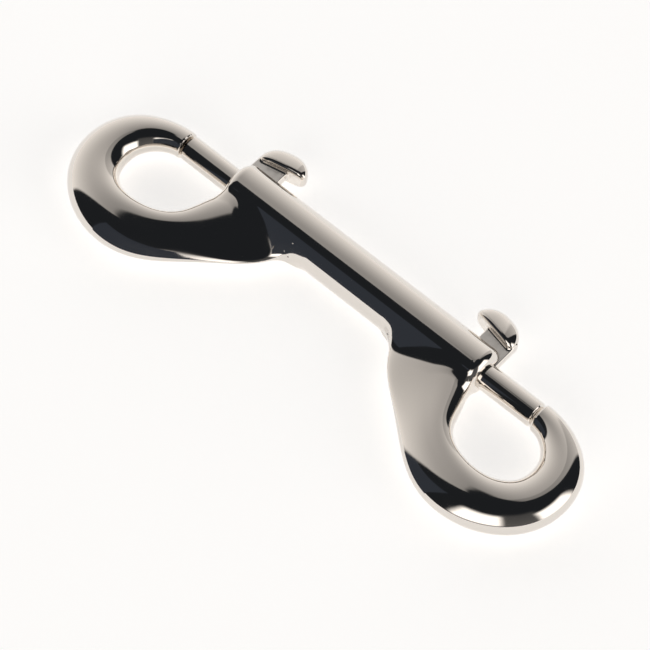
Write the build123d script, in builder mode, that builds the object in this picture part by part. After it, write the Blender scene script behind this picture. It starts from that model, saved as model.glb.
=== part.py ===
"""Double ended bolt snap, millimetres.

X runs along the barrel, the hooks curl towards -Y, the thumb pieces stand towards +Y and Z is up.
One casting holds the barrel and both hooks. A sprung bolt slides in each end of the barrel and
closes that hook's eye. The right half is modelled and the left half is its mirror image.
"""

import os
from itertools import accumulate
from math import copysign, cos, dist, pi, radians, sin, tan

from build123d import *
from scipy.interpolate import CubicSpline

# Barrel
barrel_diameter = 10.0
barrel_length = 61.4
barrel_edge_radius = 1.8
web_thickness = 3.0  # solid metal left between the two blind bores

# Bolt and the bore it slides in
bolt_diameter = 5.1
bolt_clearance = 0.05  # radial, a sliding fit
bolt_tip_chamfer = 0.5
bolt_tail = 3.3  # how far the bolt reaches behind the thumb stem
bore_chamfer = 0.3
gate_opening = 12.5  # from the barrel's end face to the nose
nose_gap = 0.3  # between the bolt's tip and the nose

# Thumb piece, cast in one with the bolt
stem_width = 6.4  # along the bolt
stem_thickness = 2.0
stem_overhang = 0.4  # how far the stem stands out past the barrel's end
head_length = 10.2
head_width = 5.2
head_height = 4.5
head_lift = 2.4  # underside above the barrel's surface, at mid length
head_slope = 12.0  # degrees, lower towards the gate
head_dome_radius = 2.3
head_rim_chamfer = 0.8
slot_clearance = 0.2  # on each side of the stem
slot_spare = 0.8  # slot left behind the stem when the bolt is drawn back

# Return spring, one behind each bolt
spring_wire = 0.6
spring_clearance = 0.2  # radial, in the bore
spring_turns = 9
steps_per_turn = 12
spring_end_gap = 0.1

# Hook: a section carried along a curved centreline, boxier and thicker on its eye side.
# A taper is the share that the thickness gains at the eye side and loses at the outer side, and a
# fullness is the power of that side's curve: 2 is an ellipse, and more is boxier.
heel_width = 12.9
heel_thickness = 5.6
heel_taper = 0.4
heel_fullness = 2.4
neck_width = 14.1
neck_slant = 38.8  # degrees, how the neck's section leans out from the corner of the barrel's end
neck_thickness = 5.2
neck_taper = 0.5
neck_fullness = 2.5
outer_fullness = 2.1  # from the heel round to the bow
throat_depth = 15.4
throat_width = 10.1
throat_thickness = 6.4
throat_taper = 0.42
throat_fullness = 2.6
bow_depth = 20.5
bow_reach = 9.6  # from the nose out to the centreline, at the bow's side
bow_width = 10.0
bow_start_thickness = 7.2
bow_start_taper = 0.3
bow_start_fullness = 3.2
bow_thickness = 7.8
bow_taper = 0.14
bow_fullness = 2.4
flank_width = 9.7
flank_thickness = 7.5
flank_taper = 0.03
shoulder_depth = 5.6
shoulder_width = 8.5
shoulder_thickness = 6.6
shoulder_taper = 0.02
nose_lip = 0.25  # how much the nose stands out round the bolt
hook_sections = 16
section_points = 20  # round each section
neck_fillet_radius = 3.0
nose_edge_radius = 0.35

# Worked out from the sizes above
barrel_radius = barrel_diameter / 2
barrel_end = barrel_length / 2
bolt_radius = bolt_diameter / 2
bore_radius = bolt_radius + bolt_clearance
nose_face = barrel_end + gate_opening
bolt_tip = nose_face - nose_gap
travel = bolt_tip - barrel_end  # the bolt's tip draws back flush with the barrel's end
stem_front = barrel_end + stem_overhang
stem_back = stem_front - stem_width
bolt_back = stem_back - bolt_tail
slot_width = stem_thickness + 2 * slot_clearance
slot_back = stem_back - travel - slot_spare
head_centre = stem_front - head_length / 2
spring_radius = bore_radius - spring_clearance - spring_wire / 2
nose_size = bolt_diameter + 2 * nose_lip
# the neck's inner side starts at the lower corner of the barrel's end
neck_x = barrel_end - neck_width / 2 * cos(radians(neck_slant))
neck_y = -barrel_radius - neck_width / 2 * sin(radians(neck_slant))


def across(x: float) -> Plane:
    """Workplane square to the barrel's axis, facing +X, with its own x along +Y."""
    return Plane(origin=(x, 0, 0), x_dir=(0, 1, 0), z_dir=(1, 0, 0))


# ---- Right hook: centre of its section, then width, thickness, taper, inner and outer fullness
hook_stations = [
    # root, buried in the barrel
    ((barrel_end - 20.0, 1.3), (4.8, 7.4, 0, 2, 2)),
    # heel, coming out of the barrel's underside
    (
        (barrel_end - 12.3, -1.3),
        (heel_width, heel_thickness, heel_taper, heel_fullness, outer_fullness),
    ),
    ((neck_x, neck_y), (neck_width, neck_thickness, neck_taper, neck_fullness, outer_fullness)),
    (
        (barrel_end - 1.0, -throat_depth),
        (throat_width, throat_thickness, throat_taper, throat_fullness, outer_fullness),
    ),
    (
        (nose_face - 6.0, -bow_depth),
        (bow_width, bow_start_thickness, bow_start_taper, bow_start_fullness, outer_fullness),
    ),
    (
        (nose_face + 3.5, -bow_depth + 0.3),
        (bow_width, bow_thickness, bow_taper, bow_fullness, outer_fullness),
    ),
    ((nose_face + bow_reach, -bow_depth + 5.6), (flank_width, flank_thickness, flank_taper, 2, 2)),
    (
        (nose_face + bow_reach, -shoulder_depth),
        (shoulder_width, shoulder_thickness, shoulder_taper, 2, 2),
    ),
    ((nose_face, 0), (nose_size, nose_size, 0, 2, 2)),
]
centres = [centre for centre, _ in hook_stations]
sizes = [size for _, size in hook_stations]
# both laws run smoothly through the stations, by the distance from one to the next
runs = [0] + [dist(a, b) for a, b in zip(centres, centres[1:])]
reached = list(accumulate(runs))
centre_law = CubicSpline(reached, centres, bc_type=((2, (0, 0)), (1, (-1, 0))))
size_law = CubicSpline(reached, sizes, bc_type=((2, [0] * 5), (1, [0] * 5)))


def hook_outline(width, thickness, taper, inner, outer) -> list:
    """Points round a section, its eye side at +x.

    On each side |x / half width|^n + |z / half height|^n is 1, with that side's fullness for n,
    and the half height grows evenly towards the eye side by the taper.
    """
    points = []
    for step in range(section_points):
        turn = 2 * pi * step / section_points
        power = 2 / (inner if cos(turn) > 0 else outer)
        across = copysign(abs(cos(turn)) ** power, cos(turn))
        height = copysign(abs(sin(turn)) ** power, sin(turn)) * (1 + taper * across)
        points.append((width / 2 * across, thickness / 2 * height))
    return points


with BuildPart() as hook:
    for step in range(hook_sections + 1):
        reach = reached[-1] * step / hook_sections
        along = Vector(*centre_law(reach, 1))
        inward = Vector(0, 0, 1).cross(along)
        section = Plane(origin=tuple(centre_law(reach)) + (0,), x_dir=inward, z_dir=along)
        with BuildSketch(section):
            with BuildLine():
                Spline(hook_outline(*size_law(reach)), periodic=True)
            make_face()
    loft()

# ---- Body: barrel and both hooks, one casting. The right half, then its mirror image
with BuildPart() as body:
    with BuildSketch(Plane.YZ):
        Circle(barrel_radius)
    extrude(amount=barrel_end)
    fillet(body.faces().sort_by(Axis.X)[-1].edges(), barrel_edge_radius)
    add(hook.part)
    # the neck flows out of the barrel
    joint_line = body.edges().filter_by(
        lambda edge: edge.geom_type not in (GeomType.CIRCLE, GeomType.LINE)
        and edge.bounding_box().min.X < barrel_end - 2 * barrel_edge_radius
        and edge.bounding_box().max.X < barrel_end + barrel_edge_radius
    )
    fillet(joint_line, neck_fillet_radius)
    fillet(body.faces().filter_by(Axis.X).sort_by(Axis.X)[-1].edges(), nose_edge_radius)
    # blind bore
    with BuildSketch(across(web_thickness / 2)):
        Circle(bore_radius)
    extrude(amount=barrel_end - web_thickness / 2, mode=Mode.SUBTRACT)
    chamfer(
        body.edges().filter_by(GeomType.CIRCLE).filter_by(
            lambda edge: abs(edge.radius - bore_radius) < 0.01
        ).sort_by(Axis.X)[-1],
        bore_chamfer,
    )
    # slot for the thumb stem, open at the barrel's end
    slot_length = barrel_end - slot_back + slot_width
    with BuildSketch(Plane.ZX):
        with Locations((0, slot_back + slot_length / 2)):
            SlotOverall(slot_length, slot_width, rotation=90)
    extrude(amount=barrel_diameter, mode=Mode.SUBTRACT)
    mirror(about=Plane.YZ)

# ---- Right bolt with its thumb piece, one casting
with BuildPart() as thumb_head:
    slope = radians(head_slope)
    underside = Plane(
        origin=(head_centre, barrel_radius + head_lift, 0),
        x_dir=(cos(slope), -sin(slope), 0),
        z_dir=(sin(slope), cos(slope), 0),
    )
    with BuildSketch(underside):
        SlotOverall(head_length, head_width)
    extrude(amount=head_height)
    ends = thumb_head.faces().sort_by(Axis(underside.origin, underside.z_dir))
    fillet(ends[-1].edges(), head_dome_radius)
    chamfer(ends[0].edges(), head_rim_chamfer)

with BuildPart() as right_bolt:
    with BuildSketch(across(bolt_back)):
        Circle(bolt_radius)
    extrude(amount=bolt_tip - bolt_back)
    chamfer(right_bolt.edges().filter_by(GeomType.CIRCLE), bolt_tip_chamfer)
    seat = barrel_radius + head_lift + head_rim_chamfer
    front_seat = seat - (stem_front - head_centre) * tan(slope)
    back_seat = seat - (stem_back - head_centre) * tan(slope)
    with BuildSketch(Plane.XY) as stem:
        Polygon(
            (stem_back, 0),
            (stem_front, 0),
            (stem_front, front_seat),
            (stem_back, back_seat),
            align=None,
        )
    extrude(amount=stem_thickness / 2, both=True)
    add(thumb_head.part)

# ---- Right return spring, between the web and the bolt's tail
spring_start = web_thickness / 2
spring_length = bolt_back - spring_end_gap - spring_start
spring_steps = spring_turns * steps_per_turn
with BuildPart() as right_spring:
    with BuildLine() as coil:
        Polyline(
            [
                Vector(spring_start + spring_length * step / spring_steps, spring_radius, 0).rotate(
                    Axis.X, 360 * step / steps_per_turn
                )
                for step in range(spring_steps + 1)
            ]
        )
    with BuildSketch(Plane(origin=coil.line @ 0, x_dir=(0, 1, 0), z_dir=coil.line % 0)):
        RegularPolygon(spring_wire / 2, side_count=6)
    sweep(path=coil.line, transition=Transition.RIGHT)
    # ground flat at both ends
    with BuildSketch(across(spring_start)):
        Circle(bore_radius)
    extrude(amount=spring_length, mode=Mode.INTERSECT)

# ---- Left side: the bolt is a mirror image, the spring is the same part turned round
with BuildPart() as left_bolt:
    mirror(right_bolt.part, about=Plane.YZ)
with BuildPart() as left_spring:
    add(right_spring.part.rotate(Axis.Z, 180))

# ---- Stand everything on z = 0, centred over the origin
pieces = {
    "body": body,
    "right_bolt": right_bolt,
    "left_bolt": left_bolt,
    "right_spring": right_spring,
    "left_spring": left_spring,
}
box = body.part.bounding_box()
for piece in pieces.values():
    box = box.add(piece.part.bounding_box())
home = Location((-box.center().X, -box.center().Y, -box.min.Z))

os.makedirs("parts", exist_ok=True)
for name, piece in pieces.items():
    piece.part = piece.part.moved(home)
    piece.part.label = name
    export_step(piece.part, f"parts/{name}.step")
print("travel", travel, "origin shift", home.position)
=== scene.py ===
"""Double ended bolt snap in bright nickel plate: its looks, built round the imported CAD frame.

The barrel with its two hooks, the two bolts with their thumb pieces and the two return springs are
fine smooth skins over the CAD solids, and each rides on the CAD body that it belongs to. All sizes
are in metres, in the row frame: X runs along the barrel, the hooks' bows face -Y and Z is up.
"""

import logging
from collections.abc import Callable
from dataclasses import astuple, dataclass, field
from enum import Enum
from math import cos, radians, sin, sqrt
from typing import NamedTuple

import bpy
import numpy as np
from bpy.types import ID, Material, Node, NodeSocket, NodeTree, Object, World
from mathutils import Matrix, Vector
from numpy.linalg import norm, solve

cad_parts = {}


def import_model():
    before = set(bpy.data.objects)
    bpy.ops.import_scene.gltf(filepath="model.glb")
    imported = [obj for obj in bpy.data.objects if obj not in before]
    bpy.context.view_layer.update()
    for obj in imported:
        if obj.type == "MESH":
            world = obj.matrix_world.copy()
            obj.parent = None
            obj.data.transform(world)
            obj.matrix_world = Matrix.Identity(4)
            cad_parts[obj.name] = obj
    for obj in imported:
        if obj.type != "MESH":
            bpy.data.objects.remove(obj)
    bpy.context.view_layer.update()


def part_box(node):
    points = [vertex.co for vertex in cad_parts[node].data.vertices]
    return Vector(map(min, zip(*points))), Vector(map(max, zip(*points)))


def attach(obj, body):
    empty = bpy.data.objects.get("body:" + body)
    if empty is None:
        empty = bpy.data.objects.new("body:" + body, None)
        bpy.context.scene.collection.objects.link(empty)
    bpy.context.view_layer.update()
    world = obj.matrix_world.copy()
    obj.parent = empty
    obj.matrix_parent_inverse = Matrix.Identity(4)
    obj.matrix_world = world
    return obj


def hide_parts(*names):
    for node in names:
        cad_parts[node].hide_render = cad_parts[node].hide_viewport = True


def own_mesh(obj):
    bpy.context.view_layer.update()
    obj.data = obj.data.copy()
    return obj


LOG = logging.getLogger("bolt_snap")
MM = 0.001
TINY = 1e-9  # the least length or slope that anything is divided by
NO_LENGTH = 1e-12  # a vector shorter than this has no direction
ELLIPSE = 2.0  # fullness of an ellipse
PARALLEL = 0.999  # past this cosine two faces count as parallel
RAMP = ("Value", "From Min", "From Max", "To Min", "To Max")  # inputs of a Map Range node
MATH = "ShaderNodeMath"
Array = np.ndarray
Pair = tuple[float, float]
Triple = tuple[float, float, float]
Field = tuple[Array, Array]  # the distance to a solid, negative inside, and its gradient
Skin = Callable[[Array], Field]  # takes x, y and z of each point
Faces = list[list[int]]  # each face's corners
Mesh = tuple[Array, Faces]


class Side(Enum):
    """The snap's two ends. The value is the sign of X there."""

    RIGHT = 1
    LEFT = -1

    @property
    def label(self) -> str:
        """The word that the CAD node names start with."""
        return self.name.lower()


# ---- numbers and surfaces


def smooth_law(reach: Array, values: Array, end_slope: Array, where: Array) -> Array:
    """A smooth curve through given values, one row at each reach along a path.

    Between two knots it is a cubic, and where two cubics meet their slopes and curvatures agree.
    At the start the curvature is nil, and at the end the slope is given.

    Args:
        reach: the knots' places along the path, growing.
        values: one row of values for each knot.
        end_slope: the slope of each column at the last knot.
        where: the places that are asked for.

    Returns:
        One row of values for each place.
    """
    step = np.diff(reach)
    rise = np.diff(values, axis=0) / step[:, None]
    system = np.diag([1.0, *2 * (step[:-1] + step[1:]), 2 * step[-1]])
    system += np.diag(step, -1) + np.diag([0.0, *step[1:]], 1)
    turn = np.concatenate([0 * rise[:1], np.diff(rise, axis=0), [end_slope - rise[-1]]])
    bend = solve(system, 6 * turn)
    k = np.clip(np.searchsorted(reach, where) - 1, 0, len(step) - 1)
    step = step[k][:, None]
    ahead = (reach[k + 1] - where)[:, None] / step
    behind = 1 - ahead
    cubic = (ahead**3 - ahead) * bend[k] + (behind**3 - behind) * bend[k + 1]
    return ahead * values[k] + behind * values[k + 1] + cubic * step**2 / 6


def rolled(first: Field, second: Field, radius: Array | float, sign: int = 1) -> Field:
    """Union of two solids with a fillet that a ball of the given radius would leave.

    a and b are the distances to the two solids. Where the ball touches both, the surface lies one
    radius from its centre, and the centre is one radius from both solids. Seen from the centre, the
    point is (radius - a) along one normal and (radius - b) along the other, and the cosine between
    the normals turns those two into a length.

    Args:
        first: distance to one solid and its unit gradient.
        second: the same for the other solid.
        radius: the ball's radius, one number or one for each point.
        sign: 1 for the union, or -1 for what the two share, which is a union inside out.

    Returns:
        The blended distance and its gradient.
    """
    (a, grad_a), (b, grad_b) = ((sign * value, sign * grad) for value, grad in (first, second))
    cosine = np.clip((grad_a * grad_b).sum(-1), -PARALLEL, PARALLEL)
    p, q = radius - a, radius - b
    touching = (p > cosine * q) & (q > cosine * p) & (p > 0) & (q > 0)
    spread = 1 - cosine**2
    length = np.sqrt(np.maximum((p * p + q * q - 2 * cosine * p * q) / spread, TINY**2))
    share_a = ((p - cosine * q) / (spread * length))[..., None]
    share_b = ((q - cosine * p) / (spread * length))[..., None]
    nearest = np.where((a < b)[..., None], grad_a, grad_b)
    value = np.where(touching, radius - length, np.minimum(a, b))
    grad = np.where(touching[..., None], share_a * grad_a + share_b * grad_b, nearest)
    return sign * value, sign * grad


def smooth(values: Array, start: float, end: float) -> Array:
    """Goes from 0 at start to 1 at end by 3t^2 - 2t^3."""
    t = np.clip((values - start) / (end - start), 0, 1)
    return t * t * (3 - 2 * t)


def unit(vectors: Array) -> Array:
    """The vectors at length one."""
    return vectors / np.maximum(norm(vectors, axis=-1, keepdims=True), NO_LENGTH)


def net_over(inside: Array, lowest: Array, pitch: float) -> tuple[Array, Array]:
    """A closed net of four-sided faces between the inside and the outside of a solid.

    Space is cut into cubes. Every cube with corners on both sides gets one point, and every edge
    between an inside and an outside corner gets the face that joins the four cubes around it.

    Args:
        inside: one truth value for each corner, on a regular grid.
        lowest: the grid's first corner.
        pitch: the cubes' edge.

    Returns:
        The points and the faces' corners.
    """
    cubes = np.lib.stride_tricks.sliding_window_view(inside, (2, 2, 2))
    crossed = cubes.any((3, 4, 5)) & ~cubes.all((3, 4, 5))
    number = np.full(crossed.shape, -1)
    number[crossed] = np.arange(crossed.sum())
    points = lowest + (np.argwhere(crossed) + 0.5) * pitch
    faces = []
    for axis in range(3):
        left, right = (axis + 1) % 3, (axis + 2) % 3
        here = np.moveaxis(inside, (axis, left, right), (0, 1, 2))[:, 1:-1, 1:-1]
        cubes = np.moveaxis(number, (axis, left, right), (0, 1, 2))
        start = here[:-1] & ~here[1:]
        end = ~here[:-1] & here[1:]
        near, far = cubes[:, :, :-1], cubes[:, :, 1:]
        around = np.stack([near[:, :-1], near[:, 1:], far[:, 1:], far[:, :-1]], -1)
        faces += [around[start], around[end][:, ::-1]]
    return points, np.concatenate(faces)


def settled(skin: Skin, points: Array, rounds: int, longest: float) -> Array:
    """The points, moved along the skin's gradient until they lie on it.

    Args:
        skin: gives the distance and the gradient at each point.
        points: places near the skin.
        rounds: how many times they are moved.
        longest: the furthest a point moves in one round.

    Returns:
        The moved points.
    """
    flattest = 0.1  # the gradient's square, below which a step would overshoot
    for _ in range(rounds):
        value, grad = skin(points)
        move = (value / np.maximum((grad**2).sum(1), flattest))[:, None] * grad
        length = norm(move, axis=1, keepdims=True)
        points = points - move / np.maximum(length / longest, 1)
    return points


def skin_net(skin: Skin, node_name: str, pitch: float) -> Mesh:
    """A skin as an even net of four-sided faces.

    The net is cut over the CAD node's box, settled on the skin, and evened out in a few rounds.

    Args:
        skin: gives the distance and the gradient at each point, negative inside.
        node_name: the CAD node whose box holds the skin.
        pitch: the size of the net's meshes.

    Returns:
        The points and the faces' corners.
    """
    margin = 3  # cubes left free on every side
    evenings, share = 4, 0.5  # each takes a point this share of the way to its neighbours' middle
    low, high = (np.array(corner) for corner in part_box(node_name))
    lowest = low - margin * pitch
    counts = np.ceil((high - lowest) / pitch).astype(int) + margin + 1
    corners = lowest + np.indices(counts).reshape(3, -1).T * pitch
    inside = (skin(corners)[0] < 0).reshape(counts)
    points, faces = net_over(inside, lowest, pitch)
    points = settled(skin, points, rounds=4, longest=pitch)
    near = np.concatenate([faces[:, k] for k in range(4)])
    far = np.concatenate([faces[:, (k + 1) % 4] for k in range(4)])
    count = np.bincount(near, minlength=len(points))[:, None]
    for _ in range(evenings):
        sums = np.stack([np.bincount(near, column[far], len(points)) for column in points.T], 1)
        points = settled(skin, points + share * (sums / count - points), rounds=2, longest=pitch)
    return settled(skin, points, rounds=2, longest=pitch), faces.tolist()


# ---- sizes and pieces


@dataclass(frozen=True)
class SnapSizes:
    """The snap's sizes, as its CAD source has them."""

    barrel_radius: float = 5.0 * MM
    barrel_half: float = 30.7 * MM
    barrel_edge: float = 1.8 * MM
    web: float = 3.0 * MM
    bolt_radius: float = 2.55 * MM
    bore_radius: float = 2.6 * MM
    bore_chamfer: float = 0.3 * MM
    gate: float = 12.5 * MM
    nose_gap: float = 0.3 * MM
    travel: float = 12.2 * MM
    stem_width: float = 6.4 * MM
    stem_thickness: float = 2.0 * MM
    stem_overhang: float = 0.4 * MM
    slot_width: float = 2.4 * MM
    slot_spare: float = 0.8 * MM
    bolt_tail: float = 3.3 * MM
    nose_size: float = 5.6 * MM
    neck_fillet: float = 3.0 * MM
    nose_edge: float = 0.35 * MM

    @property
    def nose_face(self) -> float:
        """X of the nose's flat face."""
        return self.barrel_half + self.gate

    @property
    def stem_front(self) -> float:
        """X of the stem's side that faces the gate."""
        return self.barrel_half + self.stem_overhang

    @property
    def stem_back(self) -> float:
        """X of the stem's side that faces the barrel's middle."""
        return self.stem_front - self.stem_width


@dataclass(frozen=True)
class Section:
    """The hook's section at one station: width and thickness in millimetres, and its form.

    The taper is the share of its thickness that the section gains at the eye side and loses at the
    outer side. Inner and outer are the fullness of its two sides: 2 is an ellipse, more is boxier.
    """

    width: float
    thickness: float
    taper: float = 0.0
    inner: float = ELLIPSE
    outer: float = ELLIPSE


@dataclass
class Hook:
    """The right hook: a section carried along a curved line in the plane z = 0 of the bolts' axis.

    A point is measured from the nearest place on the line: s is how far it lies towards the eye, in
    half widths, and z is its height. On the surface |s|^n + |z / (h (1 + taper s))|^n is 1, where h
    is half the thickness and n is the fullness of that side.
    """

    snap: SnapSizes
    neck_slant: float = 38.8
    throat_depth: float = 15.4 * MM
    bow_depth: float = 20.5 * MM
    bow_reach: float = 9.6 * MM
    shoulder_depth: float = 5.6 * MM
    root_in: float = 20.0 * MM  # inwards from the barrel's end, as heel_in and throat_in are
    root_lift: float = 3.0 * MM
    heel_in: float = 13.1 * MM
    heel_drop: float = 1.3 * MM
    throat_in: float = 1.0 * MM
    bow_in: float = 6.0 * MM  # where the bow starts, inwards from the nose's face
    bow_out: float = 3.5 * MM
    bow_rise: float = 0.3 * MM
    flank_rise: float = 5.6 * MM
    root: Section = Section(3.0, 5.0)
    heel: Section = Section(12.9, 5.6, 0.4, 2.4, 2.2)
    neck: Section = Section(14.1, 5.8, 0.55, 2.4, 2.2)
    throat: Section = Section(10.1, 6.5, 0.42, 2.5, 2.2)
    bow_start: Section = Section(10.0, 7.3, 0.3, 3.0, 2.2)
    bow: Section = Section(10.0, 8.3, 0.16, 2.4, 2.05)
    flank: Section = Section(9.7, 7.7, 0.04, 2.2, 2.03)
    shoulder: Section = Section(8.5, 6.6, 0.02)
    samples: int = 1200
    stride: int = 4  # of the samples that give the first guess
    batch: int = 20000  # points looked up at once
    rounds: int = 3  # of closing in on the nearest place
    tightest: float = 0.2  # floor on 1 less curvature times offset
    least: float = 1e-6  # the smallest size, in units of the section
    core: float = 0.3  # inside this size only the sign of a distance counts
    core_depth: float = 0.6  # and the distance is this share of the smaller half size
    probe: float = 0.01 * MM  # half the step that the slope is measured over
    flattest: float = 0.3  # the least slope that a distance is divided by
    nose_share: float = 0.9  # the nose's flat face acts past this share of the line
    reach: Array = field(init=False)
    line: Array = field(init=False)
    along: Array = field(init=False)
    speed: Array = field(init=False)
    curl: Array = field(init=False)
    form: Array = field(init=False)

    def __post_init__(self) -> None:
        """Lays the line through the hook's stations and samples it."""
        end, nose = self.snap.barrel_half, self.snap.nose_face
        slant, neck = radians(self.neck_slant), self.neck.width * MM / 2
        neck_y = -self.snap.barrel_radius - neck * sin(slant)
        stations = [
            (end - self.root_in, self.root_lift, self.root),
            (end - self.heel_in, -self.heel_drop, self.heel),
            (end - neck * cos(slant), neck_y, self.neck),
            (end - self.throat_in, -self.throat_depth, self.throat),
            (nose - self.bow_in, -self.bow_depth, self.bow_start),
            (nose + self.bow_out, self.bow_rise - self.bow_depth, self.bow),
            (nose + self.bow_reach, self.flank_rise - self.bow_depth, self.flank),
            (nose + self.bow_reach, -self.shoulder_depth, self.shoulder),
            (nose, 0.0, Section(self.snap.nose_size / MM, self.snap.nose_size / MM)),
        ]
        rows = np.array([(x, y, *astuple(section)) for x, y, section in stations])
        rows[:, 2:4] *= MM / 2
        gaps = norm(np.diff(rows[:, :2], axis=0), axis=1)
        knots = np.concatenate([[0.0], np.cumsum(gaps)])
        self.reach = np.linspace(0, knots[-1], self.samples)
        inwards = np.array([-1.0, 0, 0, 0, 0, 0, 0])
        table = smooth_law(knots, rows, inwards, self.reach)
        self.line, self.form = table[:, :2], table[:, 2:]
        self.form[:, 3:] = np.maximum(self.form[:, 3:], ELLIPSE)
        slope = np.gradient(self.line, self.reach, axis=0)
        self.speed = norm(slope, axis=1)
        self.along = slope / self.speed[:, None]
        turn = np.gradient(self.along, self.reach, axis=0)
        self.curl = (turn * self.eyeward(self.along)).sum(1) / self.speed

    @staticmethod
    def eyeward(along: Array) -> Array:
        """The directions square to the line that point into the eye."""
        return np.stack([-along[:, 1], along[:, 0]], 1)

    def look(self, column: Array, where: Array) -> Array:
        """The line's sampled values at the given reaches, one column for each of theirs."""
        if column.ndim == 2:
            return np.stack([np.interp(where, self.reach, c) for c in column.T], 1)
        return np.interp(where, self.reach, column)

    def nearest(self, flat: Array) -> Array:
        """How far along the line its nearest place to each point is.

        Args:
            flat: x and y of each point.

        Returns:
            The reach for each point.
        """
        line, reach = self.line[:: self.stride], self.reach[:: self.stride]
        found = np.empty(len(flat))
        for k in range(0, len(flat), self.batch):
            part = flat[k : k + self.batch]
            gap = (line**2).sum(1) - 2 * part @ line.T
            found[k : k + self.batch] = reach[gap.argmin(1)]
        for _ in range(self.rounds):
            found = self.stepped(flat, found)
        return found

    def stepped(self, flat: Array, where: Array) -> Array:
        """One Newton step towards the nearest place on the line."""
        off = flat - self.look(self.line, where)
        along = self.look(self.along, where)
        u = (off * self.eyeward(along)).sum(1)
        bend = np.maximum(1 - self.look(self.curl, where) * u, self.tightest)
        step = (off * along).sum(1) / (bend * self.look(self.speed, where))
        return np.clip(where + step, 0, self.reach[-1])

    def flesh(self, points: Array, where: Array) -> Array:
        """Distance to the hook's skin before the nose is cut, negative inside.

        With r the point's size in units of the section, and g the length of r's gradient, the
        distance is close to (r - 1) / g.

        Args:
            points: x, y and z of each point.
            where: the nearest reach for each.

        Returns:
            One distance for each point.
        """
        off = points[:, :2] - self.look(self.line, where)
        along = self.look(self.along, where)
        width, thick, taper, inner, outer = self.look(self.form, where).T
        s = (off * self.eyeward(along)).sum(1) / width
        n = np.where(s > 0, inner, outer)
        across, gain = np.abs(s), 1 + taper * np.clip(s, -1, 1)
        height = np.abs(points[:, 2]) / (thick * gain)
        r = np.maximum((across**n + height**n) ** (1 / n), self.least)
        lean_u = across ** (n - 1) * np.sign(s) - height**n * taper / gain * (across < 1)
        lean_z = height ** (n - 1) / (thick * gain)
        g = r ** (1 - n) * np.hypot(lean_u / width, lean_z)
        deep = -self.core_depth * np.minimum(width, thick)
        distance = np.where(r < self.core, deep, (r - 1) / np.maximum(g, TINY))
        return np.maximum(distance, np.where(where <= 0, -(off * along).sum(1), -1.0))

    def distance(self, points: Array) -> Field:
        """Distance to the hook and its gradient, with the nose cut flat.

        Args:
            points: places counted from the barrel's middle, x outwards.

        Returns:
            The distance and the unit gradient at each point.
        """
        where = self.nearest(points[:, :2])
        value = self.flesh(points, where)
        grad = np.empty_like(points)
        for axis, shift in enumerate(np.eye(3) * self.probe):
            high, low = points + shift, points - shift
            if axis < 2:
                rise = self.flesh(high, self.stepped(high[:, :2], where))
                rise -= self.flesh(low, self.stepped(low[:, :2], where))
            else:
                rise = self.flesh(high, where) - self.flesh(low, where)
            grad[:, axis] = rise / (2 * self.probe)
        steep = norm(grad, axis=1)
        value, grad = value / np.maximum(steep, self.flattest), unit(grad)
        near_nose = where > self.nose_share * self.reach[-1]
        face = np.where(near_nose, self.snap.nose_face - points[:, 0], -1.0)
        face_grad = np.broadcast_to([-1.0, 0.0, 0.0], points.shape)
        return rolled((value, grad), (face, face_grad), self.snap.nose_edge, -1)


@dataclass
class Piece:
    """What every piece is laid out by."""

    snap: SnapSizes
    axis: Array  # a point on the bolts' axis at the barrel's middle, in the row frame


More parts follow.
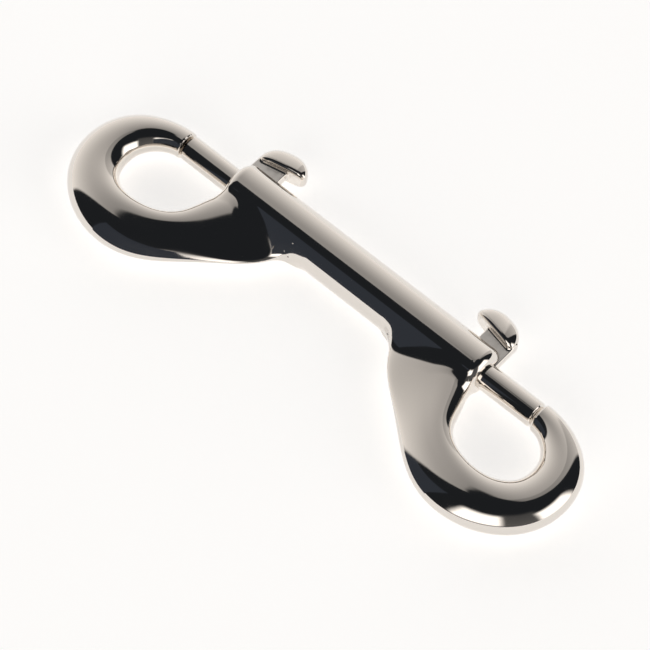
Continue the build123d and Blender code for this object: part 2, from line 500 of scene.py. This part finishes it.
@dataclass
class Casting(Piece):
    """The barrel and both hooks: one plated zinc casting, bored and slotted for the bolts."""

    pitch: float = 0.3 * MM
    inset: float = 0.01 * MM  # how far the fine skin stays inside the CAD's
    heel_fillet: float = 6.3 * MM
    heel_span: Pair = (3.0 * MM, 9.0 * MM)
    root_span: Pair = (12.0 * MM, 17.0 * MM)
    root_sides: Pair = (-4.6 * MM, -2.6 * MM)
    gate_span: Pair = (23.0 * MM, 28.0 * MM)
    least_fillet: float = 0.001 * MM
    cut_over: float = 1.0 * MM  # how far the slot's cutter stands out of the barrel
    slot_steps: int = 25
    hook: Hook = field(init=False)

    def __post_init__(self) -> None:
        """Lays out the hook."""
        self.hook = Hook(self.snap)

    def barrel(self, points: Array) -> Field:
        """Distance to the barrel, a cylinder along X with rounded ends, and its gradient.

        Args:
            points: places counted from the barrel's middle, x outwards.

        Returns:
            The distance and the unit gradient at each point.
        """
        s = self.snap
        across = norm(points[:, 1:], axis=1)
        out_x = points[:, 0] - (s.barrel_half - s.barrel_edge)
        out_r = across - (s.barrel_radius - s.barrel_edge)
        corner = np.hypot(np.maximum(out_x, 0), np.maximum(out_r, 0))
        value = corner + np.minimum(np.maximum(out_x, out_r), 0) - s.barrel_edge
        both, ahead = (out_x > 0) & (out_r > 0), out_x > out_r
        by_x, by_r = np.where(both, out_x, ahead), np.where(both, out_r, ~ahead)
        radial = points[:, 1:] / np.maximum(across, TINY)[:, None]
        return value, unit(np.concatenate([by_x[:, None], by_r[:, None] * radial], 1))

    def skin(self, points: Array) -> Field:
        """Distance to the casting's outside before it is bored, and its gradient.

        Args:
            points: places in the row frame.

        Returns:
            The distance and the gradient at each point.
        """
        local = points - self.axis
        sign = np.where(local[:, :1] < 0, -1.0, 1.0)
        local = np.concatenate([np.abs(local[:, :1]), local[:, 1:]], 1)
        # the ball is largest at the heel's outer side, and shrinks to nothing over the buried root
        heel, gate = (smooth(local[:, 0], *span) for span in (self.heel_span, self.gate_span))
        buried = smooth(local[:, 1], *self.root_sides) * (1 - smooth(local[:, 0], *self.root_span))
        fillet = self.heel_fillet * heel * (1 - buried) * (1 - gate)
        fillet = fillet + self.snap.neck_fillet * gate + self.least_fillet
        value, grad = rolled(self.barrel(local), self.hook.distance(local), fillet)
        grad[:, :1] *= sign
        return value + self.inset, grad

    def bore_cutter(self, side: Side) -> Object:
        """A blind bore with a small countersink at its mouth: a profile turned round the axis."""
        s = self.snap
        end, lip, radius = s.barrel_half, s.bore_chamfer, s.bore_radius
        inner = [(s.web / 2, 0.0), (s.web / 2, radius), (end - lip, radius)]
        mouth = [(end, radius + lip), (end + lip, radius + lip), (end + lip, 0.0)]
        points, faces = turned(np.array(inner + mouth) * (side.value, 1))
        return mesh_object("bore", points + self.axis, faces)

    def slot_cutter(self, side: Side) -> Object:
        """The stem's slot: a strip with a round inner end, carried up through the barrel's wall."""
        s = self.snap
        half = s.slot_width / 2
        inner = s.stem_back - s.travel - s.slot_spare + half
        turn = np.linspace(np.pi / 2, 3 * np.pi / 2, self.slot_steps)
        round_end = np.stack([inner + half * np.cos(turn), half * np.sin(turn)], 1)
        outer = s.barrel_half + half
        plan = np.concatenate([[(outer, half)], round_end, [(outer, -half)]]) * (side.value, 1)
        flat = np.insert(plan, 1, 0, axis=1)
        points = np.concatenate([flat, flat + (0, s.barrel_radius + self.cut_over, 0)])
        return mesh_object("slot", points + self.axis, tube_faces(2, len(plan)))

    def build(self) -> Object:
        """Makes the bored and slotted casting.

        Returns:
            The finished object, riding on the body.
        """
        points, faces = skin_net(self.skin, "body", self.pitch)
        casting = mesh_object("plated_casting", points, faces)
        for side in Side:
            for cutter in (self.bore_cutter(side), self.slot_cutter(side)):
                combine(casting, cutter, "DIFFERENCE")
        self.dress(casting)
        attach(casting, "body")
        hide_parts("body")
        return casting

    def dress(self, casting: Object) -> None:
        """Gives the casting its smooth skin and its plate."""
        shade(casting, [self.skin, self.bore])
        cover(casting, [NickelPlate().material()])

    def bore(self, points: Array) -> Field:
        """Distance into the bores' round wall, positive inside the bore, and its gradient."""
        across = points[:, 1:] - self.axis[1:]
        radial = unit(across)
        gap = self.snap.bore_radius - norm(across, axis=1)
        return gap, np.concatenate([0 * radial[:, :1], -radial], 1)


@dataclass
class Bolt(Piece):
    """One sliding bolt with its stem and domed thumb piece: a single plated zinc casting."""

    side: Side
    pitch: float = 0.17 * MM
    head_length: float = 10.2 * MM
    head_width: float = 5.2 * MM
    head_height: float = 4.5 * MM
    head_lift: float = 2.4 * MM
    head_slope: float = 12.0
    plan_fullness: float = 3.0
    dome_fullness: float = 2.1
    rim: float = 0.9 * MM
    stem_edge: float = 0.25 * MM
    stem_fillet: float = 0.6 * MM
    stem_in: float = 1.2 * MM  # how far the stem reaches into the head
    tip_chamfer: float = 0.5 * MM
    least: float = 1e-4  # the smallest place, in units of the head's size
    flatness: float = 0.02 * MM  # how near a face must lie to the stem's side to be part of it
    facing: float = -0.9  # cosine past which a face looks down from the head's underside
    seat: Array = field(init=False)
    frame: Array = field(init=False)

    def __post_init__(self) -> None:
        """Works out where the thumb piece stands and how it leans."""
        lean = radians(self.head_slope)
        middle = self.snap.stem_front - self.head_length / 2
        self.seat = np.array([middle, self.snap.barrel_radius + self.head_lift, 0])
        across, up = (cos(lean), -sin(lean), 0), (sin(lean), cos(lean), 0)
        self.frame = np.array([across, up, (0, 0, 1)])

    @property
    def rod_ends(self) -> Pair:
        """X of the rod's tail in the bore and of its tip at the nose."""
        s = self.snap
        return s.stem_back - s.bolt_tail, s.nose_face - s.nose_gap

    def local(self, points: Array) -> Array:
        """The points counted from the axis, with x growing towards the gate."""
        return (points - self.axis) * (self.side.value, 1, 1)

    def head(self, points: Array) -> Field:
        """Distance to the domed thumb piece and its gradient.

        With l, w and h the point's place along, across and above the underside in units of the
        head's size, the dome is where (l^m + w^m)^(n/m) + h^n is 1. The underside is a flat cut
        with a rounded rim.
        """
        m, n = self.plan_fullness, self.dome_fullness
        size = np.array([self.head_length / 2, self.head_height, self.head_width / 2])
        place = (points - self.seat) @ self.frame.T
        part = np.maximum(np.abs(place) / size, self.least)
        plan = part[:, 0] ** m + part[:, 2] ** m
        reach = (plan ** (n / m) + part[:, 1] ** n) ** (1 / n)
        share = np.stack([plan ** (n / m - 1), np.ones(len(plan)), plan ** (n / m - 1)], 1)
        lean = reach[:, None] ** (1 - n) * share * part ** np.array([m - 1, n - 1, m - 1])
        lean *= np.sign(place) / size
        steep = norm(lean, axis=1)
        dome = (reach - 1) / steep
        under = -place[:, 1], np.broadcast_to([0.0, -1.0, 0.0], points.shape)
        value, grad = rolled((dome, lean / steep[:, None]), under, self.rim, -1)
        return value, grad @ self.frame

    def stem(self, points: Array) -> Field:
        """Distance to the stem, a plate with rounded edges, and its gradient."""
        s = self.snap
        low = np.array([s.stem_back, 0.0, -s.stem_thickness / 2])
        top = s.barrel_radius + self.head_lift + self.stem_in
        high = np.array([s.stem_front, top, s.stem_thickness / 2])
        middle, half = (low + high) / 2, (high - low) / 2 - self.stem_edge
        out = np.abs(points - middle) - half
        past = np.maximum(out, 0)
        far = norm(past, axis=1)
        value = far + np.minimum(out.max(1), 0) - self.stem_edge
        nearest = np.eye(3)[out.argmax(1)]
        grad = np.where((far > 0)[:, None], past, nearest) * np.sign(points - middle)
        return value, unit(grad)

    def skin(self, points: Array) -> Field:
        """Distance to the stem and the thumb piece, joined by a small fillet, and its gradient."""
        place = self.local(points)
        value, grad = rolled(self.stem(place), self.head(place), self.stem_fillet)
        return value, grad * (self.side.value, 1, 1)

    def rod_skin(self, points: Array) -> Field:
        """Distance to the turned rod with its two tip chamfers, and its gradient."""
        place, (tail, tip) = self.local(points), self.rod_ends
        radial = unit(place[:, 1:])
        out = norm(place[:, 1:], axis=1) - self.snap.bolt_radius
        ahead, behind = place[:, 0] - tip, tail - place[:, 0]
        slant = sqrt(0.5)
        bevels = [(out + end + self.tip_chamfer) * slant for end in (ahead, behind)]
        values = np.stack([out, ahead, behind, *bevels], 1)
        which = values.argmax(1)
        along = np.array([0, 1, -1, slant, -slant])[which]
        across = np.array([1, 0, 0, slant, slant])[which]
        grad = np.concatenate([along[:, None] * self.side.value, across[:, None] * radial], 1)
        return values.max(1), grad

    def build(self) -> Object:
        """Makes the bolt.

        Returns:
            The finished object, riding on its own body.
        """
        points, faces = skin_net(self.skin, f"{self.side.label}_bolt", self.pitch)
        bolt = mesh_object(f"{self.side.label}_plated_bolt", points, faces)
        (tail, tip), radius, bevel = self.rod_ends, self.snap.bolt_radius, self.tip_chamfer
        back = [(tail, 0), (tail, radius - bevel), (tail + bevel, radius)]
        front = [(tip - bevel, radius), (tip, radius - bevel), (tip, 0)]
        points, faces = turned(np.array(back + front) * (self.side.value, 1))
        combine(bolt, mesh_object("rod", points + self.axis, faces), "UNION")
        self.dress(bolt)
        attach(bolt, f"{self.side.label}_bolt")
        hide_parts(f"{self.side.label}_bolt")
        return bolt

    def dress(self, bolt: Object) -> None:
        """Gives the bolt its smooth skin and bright plate, duller where no tumbling reaches."""
        shade(bolt, [self.skin, self.rod_skin])
        cover(bolt, [NickelPlate().material(), AsCastPlate().material()])
        spots = self.local(read(bolt.data.polygons, "center", 3))
        above = spots[:, 1] > self.snap.bolt_radius
        flat = np.abs(np.abs(spots[:, 2]) - self.snap.stem_thickness / 2) < self.flatness
        ways = read(bolt.data.polygons, "normal", 3) @ self.frame[1]
        under = (ways < self.facing) & (spots[:, 1] > self.snap.barrel_radius)
        bolt.data.polygons.foreach_set("material_index", (above & flat | under).astype(np.int32))


@dataclass
class ReturnSpring(Piece):
    """The coil spring behind a bolt, wound from drawn wire with closed, ground ends."""

    side: Side
    wire: float = 0.6 * MM
    radius: float = 2.1 * MM
    turns: int = 9
    closed: float = 1.0  # turns that lie closed at each end
    soft: float = 0.5  # turns over which the climb changes
    end_gap: float = 0.1 * MM
    steps: int = 40
    sides: int = 14

    @property
    def ends(self) -> Pair:
        """X of the spring's seat on the web and of its end at the bolt's tail."""
        s = self.snap
        return s.web / 2, s.stem_back - s.bolt_tail - self.end_gap

    def coil(self) -> Mesh:
        """A round wire carried along a helix.

        The helix climbs evenly between its first and last turns, and there it climbs by one wire
        a turn, so that they lie closed. Points that pass the two seats are ground back to them.

        Returns:
            The points, counted from the axis, and the faces.
        """
        start, end = self.ends
        turn = np.linspace(0, self.turns, self.turns * self.steps + 1)
        closed_climb = self.closed * self.wire
        knots = [0, self.closed, self.turns - self.closed, self.turns]
        climb = np.interp(turn, knots, [0, closed_climb, end - start - closed_climb, end - start])
        window = np.hanning(int(self.soft * self.steps) + 3)[1:-1]
        padded = np.pad(climb, len(window) // 2, mode="reflect", reflect_type="odd")
        climb = np.convolve(padded, window / window.sum(), "valid")[: len(turn)]
        angle = 2 * np.pi * turn
        ring = np.linspace(0, 2 * np.pi, self.sides, endpoint=False)
        lift = climb[:, None] + self.wire / 2 * np.sin(ring)
        reach = self.radius + self.wire / 2 * np.cos(ring)
        y, z = reach * np.cos(angle)[:, None], reach * np.sin(angle)[:, None]
        points = np.stack([np.clip(start + lift, start, end), y, z], -1).reshape(-1, 3)
        return points * (self.side.value, self.side.value, 1), tube_faces(len(turn), self.sides)

    def build(self) -> Object:
        """Makes the spring.

        Returns:
            The finished object, riding on the body.
        """
        points, faces = self.coil()
        spring = mesh_object(f"{self.side.label}_wire_spring", points + self.axis, faces)
        self.dress(spring)
        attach(spring, "body")
        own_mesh(spring)
        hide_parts(f"{self.side.label}_spring")
        return spring

    def dress(self, spring: Object) -> None:
        """Makes the wire smooth and gives it its steel."""
        spring.data.shade_smooth()
        cover(spring, [SpringWire().material()])


# ---- mesh tools


def shade(thing: Object, skins: list[Skin]) -> None:
    """Gives each face corner the normal of the skin that its face lies on.

    Each corner is looked at a little way in from its point, so that the skin on the face's own
    side of an edge answers. A face on none of the skins is left flat.

    Args:
        thing: the object to shade.
        skins: the smooth skins that its faces may lie on.
    """
    inwards = 0.05  # share of the way from the corner to the face's middle
    nearness = 0.03 * MM  # how far a face on the skin may lie from it
    alike = 0.8  # least cosine between the face's own normal and the skin's
    mesh = thing.data
    spots = read(mesh.vertices, "co", 3)
    centres = read(mesh.polygons, "center", 3)
    flat = read(mesh.polygons, "normal", 3)
    corner = read(mesh.loops, "vertex_index", 1, int)
    face_of = np.repeat(np.arange(len(centres)), read(mesh.polygons, "loop_total", 1, int))
    probes = spots[corner] + inwards * (centres[face_of] - spots[corner])
    normals = flat[face_of]
    left = np.ones(len(centres), bool)
    for skin in skins:
        value, slope = skin(centres)
        found = left & (np.abs(value) < nearness) & ((unit(slope) * flat).sum(1) > alike)
        left &= ~found
        on_it = found[face_of]
        normals[on_it] = unit(skin(probes[on_it])[1])
    mesh.shade_smooth()
    mesh.normals_split_custom_set(normals.tolist())


def cover(thing: Object, materials: list[Material]) -> None:
    """Puts the materials in the thing's slots, in order, in place of what is there."""
    thing.data.materials.clear()
    for material in materials:
        thing.data.materials.append(material)


def read(items: bpy.types.bpy_prop_collection, name: str, width: int, kind: type = float) -> Array:
    """One property of every vertex, face or corner as an array."""
    values = np.empty(len(items) * width, kind)
    items.foreach_get(name, values)
    return values.reshape(-1, width) if width > 1 else values


def stand(name: str, data: ID) -> Object:
    """Links a new object with the given data to the scene, at the origin."""
    thing = bpy.data.objects.new(name, data)
    bpy.context.scene.collection.objects.link(thing)
    return thing


def mesh_object(name: str, points: Array, faces: Faces) -> Object:
    """Puts a closed skin into a new object at the origin, and turns it the right way out.

    A mesh whose volume comes out negative is inside out, and has its faces flipped.

    Args:
        name: the object's name.
        points: x, y and z of each point.
        faces: the faces' corners, all going round in one sense.

    Returns:
        The object, linked to the scene.
    """
    mesh = bpy.data.meshes.new(name)
    mesh.from_pydata(points.tolist(), [], faces)
    mesh.validate()
    mesh.calc_loop_triangles()
    spots = read(mesh.vertices, "co", 3)
    a, b, c = (spots[k] for k in read(mesh.loop_triangles, "vertices", 3, int).T)
    if (a * np.cross(b, c)).sum() < 0:
        mesh.flip_normals()
    return stand(name, mesh)


def combine(thing: Object, tool: Object, operation: str) -> None:
    """Adds or cuts a closed tool and bakes the result into the thing's own mesh.

    Args:
        thing: the object that is kept.
        tool: the object that is used up.
        operation: UNION or DIFFERENCE.
    """
    step = thing.modifiers.new("combine", "BOOLEAN")
    step.object, step.operation, step.solver = tool, operation, "MANIFOLD"
    graph = bpy.context.evaluated_depsgraph_get()
    baked = bpy.data.meshes.new_from_object(thing.evaluated_get(graph))
    thing.modifiers.clear()
    before, thing.data = thing.data, baked
    bpy.data.meshes.remove(before)
    bpy.data.objects.remove(tool)


def grid_faces(rows: int, columns: int) -> Array:
    """The four-sided faces of a grid whose columns close into a ring."""
    row, column = np.meshgrid(np.arange(rows - 1), np.arange(columns), indexing="ij")
    after = (column + 1) % columns
    corners = [row * columns + column, row * columns + after, (row + 1) * columns + after]
    return np.stack([*corners, (row + 1) * columns + column], -1).reshape(-1, 4)


def tube_faces(rows: int, columns: int) -> Faces:
    """The faces of a closed tube: the grid between its rings, and a flat cap at each end."""
    last = (rows - 1) * columns
    caps = [list(range(columns))[::-1], list(range(last, last + columns))]
    return grid_faces(rows, columns).tolist() + caps


def turned(profile: Array, columns: int = 96) -> Mesh:
    """A closed solid turned round the X axis.

    The point at place x and radius r of the profile goes to (x, r cos a, r sin a) for every turn a.
    The profile starts and ends on the axis.

    Args:
        profile: x and radius of each profile point.
        columns: steps round the axis.

    Returns:
        The points and the faces.
    """
    turn = np.linspace(0, 2 * np.pi, columns, endpoint=False)
    x, r = profile[1:-1, :1], profile[1:-1, 1:]
    rings = np.stack([x + 0 * turn, r * np.cos(turn), r * np.sin(turn)], -1).reshape(-1, 3)
    rows = len(profile) - 2
    poles = np.array([(profile[0, 0], 0, 0), (profile[-1, 0], 0, 0)])
    ring = np.arange(columns)
    after, pole, last = (ring + 1) % columns, rows * columns + 0 * ring, (rows - 1) * columns
    first = np.stack([pole, after, ring], 1).tolist()
    final = np.stack([pole + 1, last + ring, last + after], 1).tolist()
    return np.concatenate([rings, poles]), grid_faces(rows, columns).tolist() + first + final


# ---- finishes


def linear(colour: str) -> tuple[float, float, float, float]:
    """An sRGB hex colour as linear red, green, blue and an alpha of 1."""
    parts = [int(colour[k : k + 2], 16) / 255 for k in (0, 2, 4)]
    red, green, blue = (p / 12.92 if p <= 0.04045 else ((p + 0.055) / 1.055) ** 2.4 for p in parts)
    return red, green, blue, 1.0


def blank(owner: Material | World) -> NodeTree:
    """Switches the owner's nodes on and empties its tree."""
    owner.use_nodes = True
    owner.node_tree.nodes.clear()
    return owner.node_tree


def node(tree: NodeTree, kind: str, inputs: dict | None = None, **settings: object) -> Node:
    """Adds one node with its settings, values and links.

    Args:
        tree: the node tree it goes into.
        kind: the node's type, as Blender names it.
        inputs: for each input's name or number, a value or the output that feeds it.
        settings: the node's own properties.

    Returns:
        The new node.
    """
    made = tree.nodes.new(kind)
    for name, value in settings.items():
        setattr(made, name, value)
    for name, value in (inputs or {}).items():
        if isinstance(value, NodeSocket):
            tree.links.new(value, made.inputs[name])
        else:
            made.inputs[name].default_value = value
    return made


@dataclass(frozen=True)
class Finish:
    """A finish as one set of values. Each kind of finish has its own shader."""

    name: str

    def shader(self, tree: NodeTree) -> Node:
        """Builds the finish's surface shader in the tree."""
        raise NotImplementedError

    def material(self) -> Material:
        """The finish as a material, built once for all the pieces that wear it."""
        if self.name in bpy.data.materials:
            return bpy.data.materials[self.name]
        made = bpy.data.materials.new(self.name)
        tree = blank(made)
        node(tree, "ShaderNodeOutputMaterial", {"Surface": self.shader(tree).outputs[0]})
        return made


class Relief(NamedTuple):
    """Bumps in a surface: how far apart and how high they are, and how fine they get."""

    size: float
    height: float
    detail: float = 2.0


@dataclass(frozen=True)
class Metal(Finish):
    """A metal that mirrors its surroundings in its own colour.

    Each relief is a soft noise, the coarsest first. Where the gloss has patches, the roughness
    comes and goes between its two values, and otherwise it is the first of them everywhere.
    """

    colour: str
    gloss: Pair
    reliefs: tuple[Relief, ...]
    patch_size: float = 0.0
    patch_detail: float = 5.0
    patch_range: Pair = (0.35, 0.75)  # values of the noise at the two glosses

    def shader(self, tree: NodeTree) -> Node:
        """Builds the metal's shader with its gloss and its reliefs."""
        place = node(tree, "ShaderNodeTexCoord").outputs["Object"]
        look = {"Base Color": linear(self.colour), "Metallic": 1.0, "Roughness": self.gloss[0]}
        if self.patch_size:
            noise = {"Vector": place, "Scale": 1 / self.patch_size, "Detail": self.patch_detail}
            patch = node(tree, "ShaderNodeTexNoise", noise).outputs["Fac"]
            ramp = dict(zip(RAMP, (patch, *self.patch_range, *self.gloss)))
            look["Roughness"] = node(tree, "ShaderNodeMapRange", ramp).outputs["Result"]
        for relief in self.reliefs:
            noise = {"Vector": place, "Scale": 1 / relief.size, "Detail": relief.detail}
            grain = node(tree, "ShaderNodeTexNoise", noise).outputs["Fac"]
            bump = {"Height": grain, "Distance": relief.height, "Strength": 1.0}
            bump |= {"Normal": look["Normal"]} if "Normal" in look else {}
            look["Normal"] = node(tree, "ShaderNodeBump", bump).outputs["Normal"]
        return node(tree, "ShaderNodeBsdfPrincipled", look)


@dataclass(frozen=True)
class NickelPlate(Metal):
    """Bright nickel on the tumbled and polished outside: crisp, warm grey reflections.

    The plate follows the casting's faint waves and has a fine peel.
    """

    name: str = "bright_nickel_plate"
    colour: str = "E4DED7"
    gloss: Pair = (0.05, 0.09)
    reliefs: tuple[Relief, ...] = (Relief(6.0 * MM, 0.010 * MM), Relief(0.7 * MM, 0.0010 * MM))
    patch_size: float = 3.0 * MM


@dataclass(frozen=True)
class AsCastPlate(Metal):
    """Nickel where the tumbling doesn't reach, on the stem's sides and under the head: satin."""

    name: str = "as_cast_nickel_plate"
    colour: str = "F0ECE7"
    gloss: Pair = (0.34, 0.52)
    reliefs: tuple[Relief, ...] = (Relief(1.6 * MM, 0.05 * MM), Relief(0.35 * MM, 0.03 * MM))
    patch_size: float = 0.8 * MM


@dataclass(frozen=True)
class SpringWire(Metal):
    """Hard drawn spring steel: grey, with fine lines left by the die."""

    name: str = "drawn_spring_steel"
    colour: str = "8F8C88"
    gloss: Pair = (0.32, 0.32)
    reliefs: tuple[Relief, ...] = (Relief(0.15 * MM, 0.004 * MM, 3.0),)


@dataclass(frozen=True)
class LitAcrylic(Finish):
    """Matt white acrylic, lit from below: an even white without gloss."""

    name: str = "lit_white_acrylic"
    colour: str = "F6F5F3"
    roughness: float = 0.9
    glow: float = 0.62

    def shader(self, tree: NodeTree) -> Node:
        """Builds a matt surface that also gives light."""
        look = {"Base Color": linear(self.colour), "Roughness": self.roughness}
        look |= {"Specular IOR Level": 0.0, "Emission Color": (1, 1, 1, 1)}
        return node(tree, "ShaderNodeBsdfPrincipled", look | {"Emission Strength": self.glow})


@dataclass(frozen=True)
class DarkCard(Finish):
    """Dark blue-grey card in dim light: one even tone from every side."""

    name: str = "dark_card"
    tone: Triple = (0.034, 0.040, 0.052)

    def shader(self, tree: NodeTree) -> Node:
        """Builds an even, faint glow."""
        return node(tree, "ShaderNodeEmission", {"Color": (*self.tone, 1), "Strength": 1.0})


# ---- studio


def sheet(name: str, corners: list[Triple], finish: Finish) -> Object:
    """One flat four-sided face in the given finish."""
    mesh = bpy.data.meshes.new(name)
    mesh.from_pydata(corners, [], [(0, 1, 2, 3)])
    mesh.materials.append(finish.material())
    return stand(name, mesh)


@dataclass(frozen=True)
class Panel:
    """One soft surface of the studio, as a patch of the sky in degrees.

    It is centred on a bearing counted from -Y towards +X and spans so many degrees to each side.
    Its strength runs evenly from its foot to its top, and its edges fade over a few degrees.
    """

    bearing: float
    span: float
    foot: float
    top: float
    foot_strength: float
    top_strength: float
    edge: float = 4.0

    def light(self, tree: NodeTree, way: NodeSocket) -> NodeSocket:
        """The panel's strength for each direction.

        Args:
            tree: the world's node tree.
            way: the direction that is looked at.

        Returns:
            The output that gives the strength, nil outside the panel.
        """
        turn = {"Vector": way, "Angle": radians(-self.bearing)}
        faced = node(tree, "ShaderNodeVectorRotate", turn, rotation_type="Z_AXIS").outputs[0]
        x, y, z = node(tree, "ShaderNodeSeparateXYZ", {"Vector": faced}).outputs
        ahead = node(tree, MATH, {0: y, 1: -1.0}, operation="MULTIPLY").outputs[0]
        aside = node(tree, MATH, {0: x, 1: ahead}, operation="ARCTAN2").outputs[0]
        off = node(tree, MATH, {0: aside}, operation="ABSOLUTE").outputs[0]
        height = node(tree, MATH, {0: z}, operation="ARCSINE").outputs[0]
        half = self.edge / 2
        steps = (
            (off, self.span - half, self.span + half, 1.0, 0.0, "SMOOTHSTEP"),
            (height, self.foot - half, self.foot + half, 0.0, 1.0, "SMOOTHSTEP"),
            (height, self.top - half, self.top + half, 1.0, 0.0, "SMOOTHSTEP"),
            (height, self.foot, self.top, self.foot_strength, self.top_strength, "LINEAR"),
        )
        strength: NodeSocket | float = 1.0
        for value, start, end, first, last, kind in steps:
            ramp = dict(zip(RAMP, (value, radians(start), radians(end), first, last)))
            share = node(tree, "ShaderNodeMapRange", ramp, interpolation_type=kind)
            factors = {0: strength, 1: share.outputs["Result"]}
            strength = node(tree, MATH, factors, operation="MULTIPLY").outputs[0]
        return strength


@dataclass(frozen=True)
class Studio:
    """A lit floor, a long soft box with a weaker end, two small ones, dim walls and the camera."""

    floor_size: float = 3.0
    floor_drop: float = 0.05 * MM  # how far the floor lies below the part
    backdrop: str = "F4F3F1"
    dim_walls: Triple = (0.014, 0.016, 0.019)
    soft_light: Triple = (1.0, 0.965, 0.93)
    flag_x: Pair = (-66 * MM, 14 * MM)
    flag_y: float = -60 * MM
    flag_top: float = 75 * MM
    panels: tuple[Panel, ...] = (
        Panel(-119.0, 53.0, -25.0, 74.0, 1.24, 0.28),  # the long soft box
        Panel(-183.5, 11.5, -25.0, 74.0, 0.80, 0.20),  # its weaker end
        Panel(18.0, 23.0, 5.0, 47.0, 1.9, 1.5, 11.0),  # two small boxes
        Panel(105.0, 21.0, -1.0, 40.0, 1.9, 1.5, 11.0),
        Panel(64.0, 24.0, -8.0, 52.0, 0.11, 0.05, 12.0),  # a faint glow between them
    )
    azimuth: float = 41.279418
    elevation: float = 59.480079
    roll: float = 0.973298
    distance: float = 0.50447213
    lens: float = 153.8492  # in millimetres, as the sensor is
    sensor: float = 36.0
    nearest: float = 0.01  # nothing nearer to the camera shows
    aim: Pair = (2.171012 * MM, -11.516144 * MM)

    def floor(self) -> None:
        """Lays the floor: one lit square, a hair below the part."""
        half, z = self.floor_size / 2, -self.floor_drop
        corners = [(-half, -half, z), (half, -half, z), (half, half, z), (-half, half, z)]
        floor = sheet("floor", corners, LitAcrylic())

    def flag(self) -> None:
        """Hangs a dark card that keeps the small soft boxes out of the left hook's side."""
        (left, right), y, top = self.flag_x, self.flag_y, self.flag_top
        corners = [(left, y, 0), (right, y, 0), (right, y, top), (left, y, top)]
        card = sheet("flag", corners, DarkCard())
        card.visible_camera = card.visible_diffuse = card.visible_shadow = False

    def sky(self) -> None:
        """Dim walls all round with the soft boxes' light added, and a pale backdrop for the eye."""
        world = bpy.data.worlds.new("studio")
        bpy.context.scene.world = world
        tree = blank(world)
        way = node(tree, "ShaderNodeTexCoord").outputs["Generated"]
        total: NodeSocket | float = 0.0
        for panel in self.panels:
            terms = {0: total, 1: panel.light(tree, way)}
            total = node(tree, MATH, terms, operation="ADD").outputs[0]
        colours = (*self.soft_light, 1), (*self.dim_walls, 1), linear(self.backdrop)
        boxes, walls, pale = (
            node(tree, "ShaderNodeBackground", {"Color": colour, "Strength": strength}).outputs[0]
            for colour, strength in zip(colours, (total, 1.0, 1.0))
        )
        lit = node(tree, "ShaderNodeAddShader", {0: boxes, 1: walls}).outputs[0]
        seen = node(tree, "ShaderNodeLightPath").outputs["Is Camera Ray"]
        both = node(tree, "ShaderNodeMixShader", {0: seen, 1: lit, 2: pale}).outputs[0]
        node(tree, "ShaderNodeOutputWorld", {"Surface": both})

    def camera(self, axis: Array) -> None:
        """Sets the camera at its angle and distance.

        Args:
            axis: the point of the bolts' axis at the barrel's middle, which the aim counts from.
        """
        a, e, r = (radians(v) for v in (self.azimuth, self.elevation, self.roll))
        back = Vector((sin(a) * cos(e), -cos(a) * cos(e), sin(e)))
        level = Vector((cos(a), sin(a), 0))
        upright = back.cross(level)
        right = level * cos(r) + upright * sin(r)
        up = upright * cos(r) - level * sin(r)
        data = bpy.data.cameras.new("camera")
        data.lens, data.sensor_width, data.clip_start = self.lens, self.sensor, self.nearest
        camera = stand("camera", data)
        place = Vector((*self.aim, 0)) + Vector(axis) + back * self.distance
        turn = Matrix((right, up, back)).transposed().to_4x4()
        camera.matrix_world = Matrix.Translation(place) @ turn
        bpy.context.scene.camera = camera

    def build(self, axis: Array) -> None:
        """Sets up the floor, the light and the camera."""
        self.floor()
        self.flag()
        self.sky()
        self.camera(axis)
        bpy.context.scene.view_settings.view_transform = "Standard"


def main() -> None:
    """Builds the snap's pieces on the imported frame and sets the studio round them."""
    logging.basicConfig(level=logging.INFO, format="%(message)s")
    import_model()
    snap = SnapSizes()
    low, high = (np.array(corner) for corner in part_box("body"))
    axis = np.array([0, high[1] - snap.barrel_radius, (low[2] + high[2]) / 2])
    Studio().build(axis)
    makers = [Casting(snap, axis)]
    for side in Side:
        makers += [Bolt(snap, axis, side), ReturnSpring(snap, axis, side)]
    for maker in makers:
        piece = maker.build()
        LOG.info("%s: %d faces", piece.name, len(piece.data.polygons))


if __name__ == "__main__":
    main()
